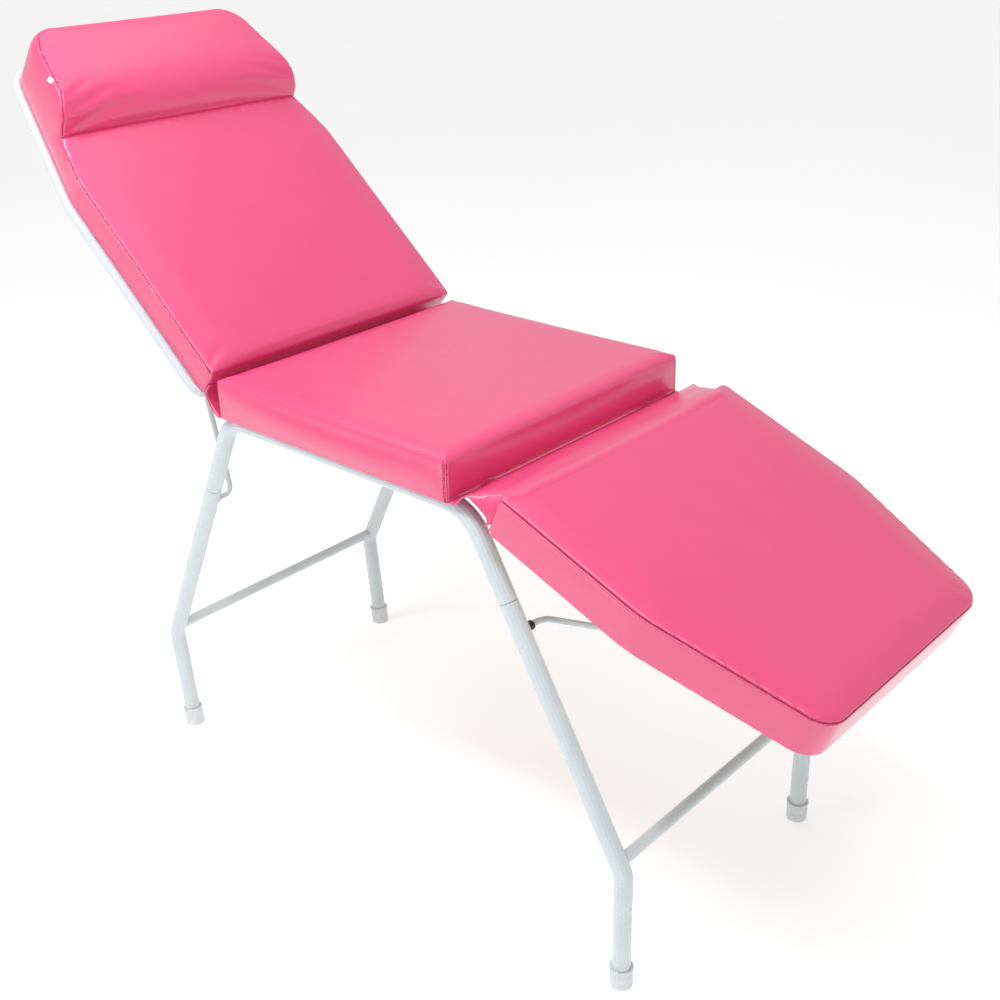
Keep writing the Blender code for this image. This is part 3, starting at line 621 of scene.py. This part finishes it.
def panel_levels(corners, radii, direction, start, low, high, panel):
    """Rings of a boxed panel: upright sides, a sewn edge and a rolled top."""
    seam = high - SEAM_BELOW_TOP
    steps = [(PANEL_SHRINK, low - BELOW)]
    for share in (0.35, 0.7):
        steps.append((PANEL_SHRINK, low + (seam - low) * share))
    steps.append((PANEL_SHRINK + SEAM_STEP, seam))
    for step in range(1, 8):
        t = math.pi / 2 * step / 7
        inset = PANEL_SHRINK + SEAM_STEP + ROLL * (1 - math.cos(t))
        steps.append((inset, seam + RISE * math.sin(t)))
    return [placed(outline(corners, radii, inset), direction, start, z, panel) for inset, z in steps]


def panel_seam(corners, radii, direction, start, z, panel):
    """The line of a panel's sewn top edge."""
    return placed(outline(corners, radii, SEAM_INSET, 14), direction, start, z, panel)


def held_near(seam_path, panel, low):
    """Pins what rests on the board and what lies near the seam."""
    tree = tree_of(seam_path)
    to_level = panel.inverted()

    def pinned(points):
        under = np.array([(to_level @ Vector(p)).z for p in points]) < low + 0.006
        seam = np.array([tree.find(p)[2] for p in points]) < PIN_REACH
        return np.where(under | seam, 1.0, 0.0)

    return pinned


def sewn_edge(cover, seam):
    """Presses the seam's groove into the cover. Returns the cover's surface and the seam's line on it."""
    dense = resampled(seam, GROOVE_PITCH)
    refine_near(cover, dense, 0.006)
    surface = surface_of(cover)
    laid = [surface.find_nearest(p)[0] for p in dense]
    groove(cover, laid, 0.0021, 0.0013, 0.0006)
    return surface_of(cover), laid


def seam_trim(name, laid, up, surface):
    """Stitches above a seam and the folded edge of the vinyl below it."""
    upper = [p + up * 0.0014 for p in laid]
    lower = [p - up * 0.0021 for p in laid]
    return [
        stitches(name + "_stitches", upper, surface, STITCH_WITH_PAINTED_SHADE),
        lip(name + "_seam_fold", lower, surface, LIP, VINYL),
    ]


def leg_cushion():
    corners = panel_corners(LEG_LENGTH, LEG_HIGH.y, LEG_TAPER_START, LEG_TAPER)
    levels = panel_levels(corners, LEG_RADII, 1, LEG_LOW.x, LEG_LOW.z, LEG_HIGH.z, LEG)
    made = loft("leg_cushion_cover", levels, VINYL)
    seam = panel_seam(corners, LEG_RADII, 1, LEG_LOW.x, LEG_HIGH.z - SEAM_BELOW_TOP, LEG)
    sewn = seam[LEG_SEAM_SKIP:-LEG_SEAM_SKIP]
    inflate(made, LEG, held_near(resampled(sewn, PATH_PITCH), LEG, LEG_LOW.z), PANEL_CAP)
    surface, laid = sewn_edge(made, sewn)
    pieces = seam_trim("leg_cushion", laid, LEG.to_3x3() @ Vector((0, 0, 1)), surface)
    board_top = level_box("leg_board", LEG)[1].z
    trim_underside(made, corners, LEG_RADII, 1, LEG_LOW.x, LEG_LOW.z, board_top, LEG)
    return made, pieces


def pillow_insets(share):
    """How far the pillow's front and its other edges lie in, at a share of its height."""
    front = PILLOW_ROLL * (1 - math.sqrt(max(0.0, 1 - share**2.1)))
    rim = PILLOW_RIM * (1 - math.sqrt(max(0.0, 1 - share**6)))
    return front, rim


def pillow_half(s):
    return BACK_HIGH.y - BACK_TAPER * (s - BACK_TAPER_START)


def pillow_top(s):
    """How far the pillow's top is above the pad, s along it; it falls a little towards the head end."""
    fall = PILLOW_FALL * max(0.0, (s - 0.55) / (BACK_LENGTH - 0.55))
    return PILLOW_HIGH.z - BACK_HIGH.z - PILLOW_CROWN - fall


def pillow_levels():
    """Rings of the headrest, from inside the pad to its top."""
    shares = [-0.6, -0.2, 0.0, 0.2, 0.4, 0.55, 0.7, 0.8, 0.88, 0.94, 0.98, 1.0]
    levels = []
    for share in shares:
        front, rim = pillow_insets(max(0.0, share))
        start = PILLOW_START + front
        stop = BACK_LENGTH - PILLOW_INSET - rim
        ring_corners = []
        for s, sign in ((start, -1), (stop, -1), (stop, 1), (start, 1)):
            ring_corners.append(Vector((s, sign * (pillow_half(s) - PILLOW_INSET - rim), 0)))
        flat = rounded(ring_corners, (0.008, 0.048, 0.048, 0.008), 6)
        ring = [Vector((-(BACK_START + p.x), p.y, BACK_HIGH.z + share * pillow_top(p.x))) for p in flat]
        levels.append([BACK @ p for p in ring])
    return levels


def pillow_seam():
    """The sewn line up the pillow's front corner, along its side, round the head end and back down."""
    side = []
    for step in range(1, 15):
        share = step / 14 * 0.95
        front, rim = pillow_insets(share)
        s = PILLOW_START + front
        side.append((s, pillow_half(s) - PILLOW_INSET - rim, share))
    tip = BACK_LENGTH - 0.006
    for s, inset in ((tip - 0.05, 0.006), (tip - 0.014, 0.016), (tip, 0.052)):
        side.append((s, pillow_half(s) - inset, 0.95))
    side = [(s, y, BACK_HIGH.z + share * pillow_top(s)) for s, y, share in side]
    local = [Vector((-(BACK_START + s), -y, z)) for s, y, z in side]
    local += [Vector((p.x, -p.y, p.z)) for p in reversed(local)]
    return [BACK @ p for p in local]


def crease_line():
    """Across the pad's top, where the pillow's front rises from it."""
    half = pillow_half(PILLOW_START) - 0.004
    place = -(BACK_START + PILLOW_START + 0.001)
    return [BACK @ Vector((place, half * k / 60, BACK_HIGH.z)) for k in range(-60, 61)]


def gathers(cover, crease):
    """Short folds that run away from the crease on both sides of it."""
    tree = tree_of(crease)
    normals = vertex_normals(cover)
    points = positions(cover)
    shift = np.zeros(len(points))
    for i, p in enumerate(points):
        away = tree.find(p)[2]
        if away < 0.045:
            wide = noise.noise(Vector((p[1] * 42, 0.0, 3.0)))
            fine = noise.noise(Vector((p[1] * 95, 1.0, 7.0)))
            fold = wide + 0.5 * fine
            shift[i] = 0.0016 * fold * math.exp(-((away / 0.018) ** 2))
            shift[i] -= 0.0010 * math.exp(-((away / 0.010) ** 2))
    set_positions(cover, points + normals * shift[:, None])


def back_cushion():
    """The backrest pad and its headrest as one sewn cover, with a crease where they meet."""
    corners = panel_corners(BACK_LENGTH, BACK_HIGH.y, BACK_TAPER_START, BACK_TAPER)
    levels = panel_levels(corners, BACK_RADII, -1, BACK_START, BACK_LOW.z, BACK_HIGH.z, BACK)
    made = loft("back_cushion_cover", levels, VINYL)
    pillow = loft("pillow_shape", pillow_levels(), VINYL)
    joined = bmesh.new()
    joined.from_mesh(made.data)
    joined.from_mesh(pillow.data)
    joined.to_mesh(made.data)
    joined.free()
    bpy.data.objects.remove(pillow, do_unlink=True)
    edge = panel_seam(corners, BACK_RADII, -1, BACK_START, BACK_HIGH.z - SEAM_BELOW_TOP, BACK)
    to_level = BACK.inverted()
    beside = [
        p
        for p in resampled(edge, PATH_PITCH, True)
        if 0.006 < -(to_level @ p).x - BACK_START < BACK_SEAM_END
    ]
    side_seams = []
    for sign in (-1, 1):
        run = [p for p in beside if sign * p.y > 0.15]
        side_seams.append(sorted(run, key=lambda p: -p.x))
    over = pillow_seam()
    crease = crease_line()
    held = side_seams[0] + side_seams[1] + resampled(over, PATH_PITCH) + resampled(crease, PATH_PITCH)
    inflate(made, BACK, held_near(held, BACK, BACK_LOW.z), PANEL_CAP)
    gathers(made, crease)
    tight = resampled(crease, GROOVE_PITCH)
    refine_near(made, tight, 0.010)
    refine_near(made, tight, 0.005)
    surface = surface_of(made)
    groove(made, [surface.find_nearest(p)[0] for p in tight], 0.0040, 0.0018)
    up = BACK.to_3x3() @ Vector((0, 0, 1))
    pieces = []
    for side, run in zip(("right", "left"), side_seams):
        surface, laid = sewn_edge(made, run)
        pieces += seam_trim(f"back_{side}", laid, up, surface)
    surface, laid = sewn_edge(made, over)
    pieces.append(stitches("pillow_stitches", [p + up * 0.0012 for p in laid], surface, STITCH_WITH_PAINTED_SHADE))
    pieces.append(lip("pillow_seam_fold", [p - up * 0.0018 for p in laid], surface, 0.0010, VINYL))
    board_top = level_box("back_board", BACK)[1].z
    trim_underside(made, corners, BACK_RADII, -1, BACK_START, BACK_LOW.z, board_top, BACK)
    return made, pieces


# ---- Flaps ----
def smooth_curve(points, pitch):
    """Evenly spaced points on a Catmull-Rom curve through a few points."""
    made = []
    for i in range(len(points) - 1):
        a, b = points[i], points[i + 1]
        before = points[i - 1] if i else a
        after = points[i + 2] if i + 2 < len(points) else b
        for step in range(12):
            t = step / 12
            square = (2 * before - 5 * a + 4 * b - after) * t * t
            cube = (3 * a - before - 3 * b + after) * t**3
            made.append(0.5 * ((2 * a) + (b - before) * t + square + cube))
    made.append(points[-1])
    return resampled(made, pitch)


def flap(name, section, half, ripple):
    """A strip of vinyl with its own section at each place across the bed, and a few soft waves."""
    count = 26
    columns = round(2 * half / 0.006)
    points, faces = [], []
    for k in range(columns + 1):
        y = -half + 2 * half * k / columns
        line = smooth_curve(section(y), 0.0005)
        for i in range(count + 1):
            p = line[round((len(line) - 1) * i / count)]
            loose = math.sin(math.pi * i / count) ** 2
            wave = ripple * loose * noise.noise(Vector((y * 14, i * 0.12, 5.0)))
            points.append(Vector((p.x, y, p.z + wave)))
    for k in range(columns):
        for i in range(count):
            c = k * (count + 1) + i
            faces.append((c, c + 1, c + count + 2, c + count + 1))
    made = new_mesh(name, points, faces, VINYL, BACKING)
    if sum(face.normal.z for face in made.data.polygons) < 0:
        made.data.flip_normals()
    solid = made.modifiers.new("solid", "SOLIDIFY")
    solid.thickness = FLAP_THICK
    solid.offset = -1
    solid.material_offset = 1
    solid.material_offset_rim = 0
    apply_modifiers(made)
    return made


def front_flap(cover):
    """From the seat's lower front edge to the leg rest's top, tucked in at each side."""
    surface = surface_of(cover)
    base = Vector((SEAT_HIGH.x, 0, SEAT_LOW.z))
    turn = LEG.to_3x3()
    along, up = turn @ Vector((1, 0, 0)), turn @ Vector((0, 0, 1))
    top = LEG @ Vector((LEG_LOW.x, 0, LEG_HIGH.z))
    low = LEG @ Vector((LEG_LOW.x, 0, LEG_LOW.z))
    half = SEAT_HIGH.y - 0.004

    def on_pad(reach, y, lift):
        start = top + along * reach + up * 0.03 + Vector((0, y * 0.985, 0))
        return surface.ray_cast(start, -up)[0] + up * lift

    def section(y):
        share = math.exp(-(((half - abs(y)) / 0.016) ** 2))
        on_top = ((0.012, 0.0008), (0.026, 0.0004), (0.038, -0.0012))
        pad = [on_pad(reach, y, lift) for reach, lift in on_top]
        lift = RAIL_LIFT * math.exp(-(((abs(y) - RAIL_Y) / 0.017) ** 2))
        lift += HINGE_LIFT * math.exp(-(((abs(y) - HINGE_Y) / 0.013) ** 2))
        middle = [(0.0008, 0.0022 + lift), (0.0040, 0.0022 + lift)]
        middle += [(0.0120, 0.0062 + lift / 2), (0.0400, 0.0240)]
        edge = [(0.0008, 0.0022 + lift), (0.0040, 0.0014 + lift)]
        edge += [(0.0120, 0.0030), (0.0320, 0.0215)]
        points = []
        for (x, z), (edge_x, edge_z) in zip(middle, edge):
            points.append(base + Vector((x + (edge_x - x) * share, 0, z + (edge_z - z) * share)))
        notch = [
            base + Vector((0.0480, 0, 0.0160)),
            low - along * 0.003 + up * 0.020,
            low - along * 0.0012 + up * 0.006,
        ]
        return points + [one.lerp(two, share) for one, two in zip(pad, notch)]

    return flap("front_flap_sheet", section, half, 0.0012)


def rear_flap():
    """From the seat's lower rear edge to the lower end of the backrest's pad."""
    base = Vector((SEAT_LOW.x, 0, SEAT_LOW.z))
    low = BACK @ Vector((BACK_HIGH.x, 0, BACK_LOW.z))
    along = (BACK.to_3x3() @ Vector((1, 0, 0))).normalized()
    up = BACK.to_3x3() @ Vector((0, 0, 1))
    from_seat = ((-0.0006, 0.0010), (-0.0030, -0.0010), (-0.0100, 0.0008), (-0.0200, 0.0110))
    on_back = ((0.004, 0.002), (0.0012, 0.012), (0.0010, 0.022))
    line = [base + Vector((x, 0, z)) for x, z in from_seat]
    line += [low + along * reach + up * rise for reach, rise in on_back]
    return flap("rear_flap_sheet", lambda y: line, SEAT_HIGH.y - 0.004, 0.0016)


def tag(cover):
    """A blank strip of tape folded in two, caught in the pillow's side seam."""
    low, high = level_box("blank_tag", BACK)
    at, normal = surface_of(cover).find_nearest(BACK @ ((low + high) / 2))[:2]
    along = (BACK.to_3x3() @ Vector((1, 0, 0))).normalized()
    across = normal.cross(along).normalized()
    points, faces = [], []
    for layer, lift in enumerate((0.0006, 0.0014)):
        base = len(points)
        for i in range(7):
            for k in range(5):
                x = (i / 6 - 0.5) * 0.0125
                z = (k / 4 - 0.5) * 0.0100 + 0.30 * x
                bow = (0.0002 + 0.0008 * layer) * math.sin(math.pi * i / 6)
                points.append(at + along * x + across * z + normal * (lift + bow))
        for i in range(6):
            for k in range(4):
                c = base + i * 5 + k
                faces.append((c, c + 1, c + 6, c + 5))
    made = new_mesh("blank_tag_tape", points, faces, FINISHES["tag_cloth"])
    solid = made.modifiers.new("solid", "SOLIDIFY")
    solid.thickness = 0.0004
    apply_modifiers(made)
    return made


def rest_of(cover, pieces, body):
    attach(cover, body)
    for piece in pieces:
        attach(piece, body)


# ---- Camera, light and floor ----
def camera():
    azimuth, down = CAMERA_AZIMUTH, CAMERA_DOWN
    level = Vector((-math.sin(azimuth) * math.cos(down), math.cos(azimuth) * math.cos(down), 0))
    forward = level - Vector((0, 0, math.sin(down)))
    right = forward.cross(Vector((0, 0, 1))).normalized()
    up = right.cross(forward)
    rolled_right = right * math.cos(CAMERA_ROLL) + up * math.sin(CAMERA_ROLL)
    rolled_up = up * math.cos(CAMERA_ROLL) - right * math.sin(CAMERA_ROLL)
    turn = Matrix((rolled_right, rolled_up, -forward)).transposed()
    data = bpy.data.cameras.new("camera")
    data.lens = LENS
    data.sensor_width = 36
    data.dof.use_dof = False
    made = bpy.data.objects.new("camera", data)
    made.matrix_world = Matrix.Translation(CAMERA_AT) @ turn.to_4x4()
    bpy.context.scene.collection.objects.link(made)
    bpy.context.scene.camera = made


def area_light(name, place, aim, size, power):
    data = bpy.data.lights.new(name, "AREA")
    data.shape = "RECTANGLE"
    data.size, data.size_y = size
    data.energy = power
    made = bpy.data.objects.new(name, data)
    made.location = place
    made.rotation_euler = (Vector(aim) - Vector(place)).to_track_quat("-Z", "Y").to_euler()
    bpy.context.scene.collection.objects.link(made)


def studio():
    scene = bpy.context.scene
    scene.view_settings.view_transform = "Standard"
    world = bpy.data.worlds.new("studio")
    world.use_nodes = True
    background = world.node_tree.nodes["Background"].inputs
    background["Color"].default_value = (1, 1, 1, 1)
    background["Strength"].default_value = WORLD_STRENGTH
    scene.world = world
    area_light("key", (-1.4, -2.6, 1.9), (0, 0, 0.7), (1.4, 1.0), 8)
    area_light("edge_strip", (0.1, -0.95, 2.6), (0, -0.27, 0.75), (3.2, 0.22), 42)
    area_light("top", (-0.6, 0.2, 3.0), (0, 0, 0.7), (1.8, 1.8), 8)
    bpy.ops.mesh.primitive_plane_add(size=40, location=(0, 0, 0))
    floor = bpy.context.object
    floor.name = "studio_floor"
    m = Nodes("pale_floor")
    m.set(Base_Color=m.ramp(m.noise(0.7, 2), (0.96, 0.96, 0.96), (0.98, 0.98, 0.98)), Roughness=0.85)
    m.set(Emission_Color=(1, 1, 1, 1), Emission_Strength=FLOOR_GLOW)
    floor.data.materials.append(m.made)


camera()
studio()
finish_cad_nodes()

seat = seat_cushion()
rest_of(seat, seat_seams(seat), "seat_frame")
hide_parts("seat_pad")

leg, leg_pieces = leg_cushion()
rest_of(leg, leg_pieces, "legrest")
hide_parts("leg_pad")

back, back_pieces = back_cushion()
rest_of(back, back_pieces, "backrest")
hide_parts("back_pad", "headrest_pillow")

front = front_flap(leg)
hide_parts("front_flap")
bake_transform(front)

rear = rear_flap()
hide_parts("rear_flap")
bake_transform(rear)

label = tag(back)
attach(label, "backrest")
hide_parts("blank_tag")

bpy.context.view_layer.update()
